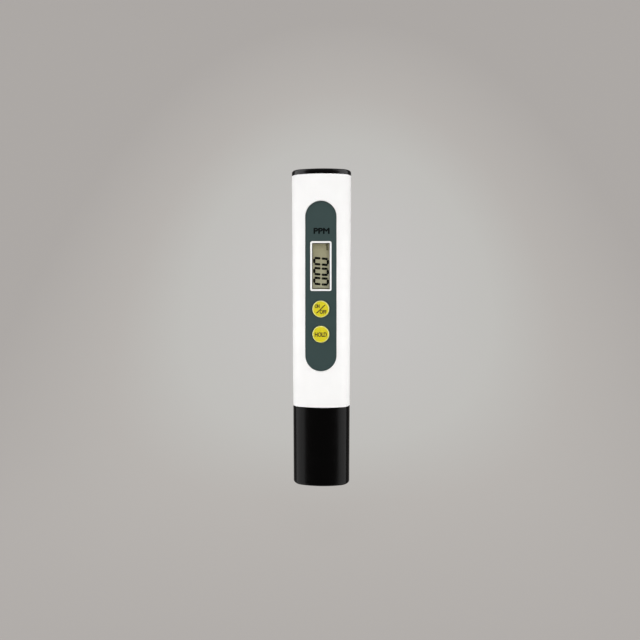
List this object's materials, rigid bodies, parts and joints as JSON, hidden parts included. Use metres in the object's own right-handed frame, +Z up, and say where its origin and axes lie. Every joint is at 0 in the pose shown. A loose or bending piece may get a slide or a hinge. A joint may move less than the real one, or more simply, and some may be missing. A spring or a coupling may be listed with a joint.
{
  "type": "tds meter pen",
  "caption": "Slim oval water purity tester pen with a small display, round keys, a pull-off probe cap and a slide-out battery drawer.",
  "frame": {"origin": "middle of the cap's flat foot, on the surface that the pen stands on", "axes": "+Z up the pen to the lid, +X to the reader's right, -Y out of the display's face"},
  "size_m": [0.0286, 0.015, 0.15],
  "materials": {
    "white_shell": "satin white moulded plastic",
    "black_cap": "smooth black moulded plastic",
    "black_moulding": "fine matt black moulded plastic",
    "panel_grey": "matt slate grey printed panel",
    "clear_window": "clear polished window",
    "display_glass": "olive tan liquid crystal glass with a polarising film",
    "display_back": "clear glass seen against its reflector",
    "reflector": "brushed foil",
    "connector_rubber": "striped pink and black silicone",
    "carrier_white": "matt white plastic",
    "board_green": "green solder mask over glass cloth board",
    "resin_black": "glossy black potting resin",
    "chip_black": "matt black chip package",
    "resistor_black": "black film between tinned ends",
    "capacitor_tan": "tan ceramic between tinned ends",
    "key_yellow": "smooth yellow moulded key",
    "switch_black": "black switch base",
    "switch_steel": "stamped steel cover",
    "plunger_black": "black switch plunger",
    "trimmer_blue": "blue trimmer base",
    "trimmer_brass": "plated brass rotor",
    "cell_steel": "nickel plated cell can",
    "cell_lid_steel": "nickel plated cell lid",
    "cell_ring": "insulating nylon ring",
    "contact_spring": "nickel plated spring strip",
    "electrode_metal": "polished titanium pin",
    "seal_rubber": "black rubber ring",
    "bead_epoxy": "black epoxy temperature bead",
    "lead_red": "red insulated lead",
    "lead_black": "black insulated lead",
    "lead_yellow": "yellow insulated leads"
  },
  "bodies": {
    "pen": {"housing": "white_shell", "face_panel": "panel_grey", "display_lens": "clear_window", "lcd_front_glass": "display_glass", "lcd_back_glass": "display_back", "lcd_reflector": "reflector", "left_rubber_connector": "connector_rubber", "right_rubber_connector": "connector_rubber", "display_carrier": "carrier_white", "circuit_board": "board_green", "controller_blob": "resin_black", "amplifier_chip": "chip_black", "chip_resistors": "resistor_black", "chip_capacitors": "capacitor_tan", "on_off_switch_base": "switch_black", "on_off_switch_cover": "switch_steel", "hold_switch_base": "switch_black", "hold_switch_cover": "switch_steel", "trimmer_base": "trimmer_blue", "positive_contact": "contact_spring", "negative_contact": "contact_spring", "series_link": "contact_spring", "electrode_holder": "black_moulding", "holder_seal": "seal_rubber", "left_electrode": "electrode_metal", "right_electrode": "electrode_metal", "thermistor": "bead_epoxy", "left_electrode_lead": "lead_red", "right_electrode_lead": "lead_black", "thermistor_leads": "lead_yellow"},
    "cap": {"protective_cap": "black_cap"},
    "drawer": {"battery_drawer": "black_cap", "upper_cell_can": "cell_steel", "upper_cell_gasket": "cell_ring", "upper_cell_minus_lid": "cell_lid_steel", "lower_cell_can": "cell_steel", "lower_cell_gasket": "cell_ring", "lower_cell_minus_lid": "cell_lid_steel"},
    "on_off_key": {"on_off_button": "key_yellow", "on_off_switch_plunger": "plunger_black"},
    "hold_key": {"hold_button": "key_yellow", "hold_switch_plunger": "plunger_black"},
    "trimmer": {"trimmer_rotor": "trimmer_brass"}
  },
  "joints": [
    {"name": "cap_slide", "type": "slide", "parent": "pen", "child": "cap", "axis": [0, 0, -1], "range_m": [0, 0.034]},
    {"name": "drawer_slide", "type": "slide", "parent": "pen", "child": "drawer", "axis": [0, 0, 1], "range_m": [0, 0.03]},
    {"name": "on_off_press", "type": "slide", "parent": "pen", "child": "on_off_key", "axis": [0, 1, 0], "range_m": [0, 0.00045], "stiffness_N_per_m": 350, "springref_m": -0.001},
    {"name": "hold_press", "type": "slide", "parent": "pen", "child": "hold_key", "axis": [0, 1, 0], "range_m": [0, 0.00045], "stiffness_N_per_m": 350, "springref_m": -0.001},
    {"name": "trimmer_turn", "type": "hinge", "parent": "pen", "child": "trimmer", "pos_m": [0, 0.0022, 0.062], "axis": [0, 1, 0], "range_deg": [-130, 130]}
  ]
}
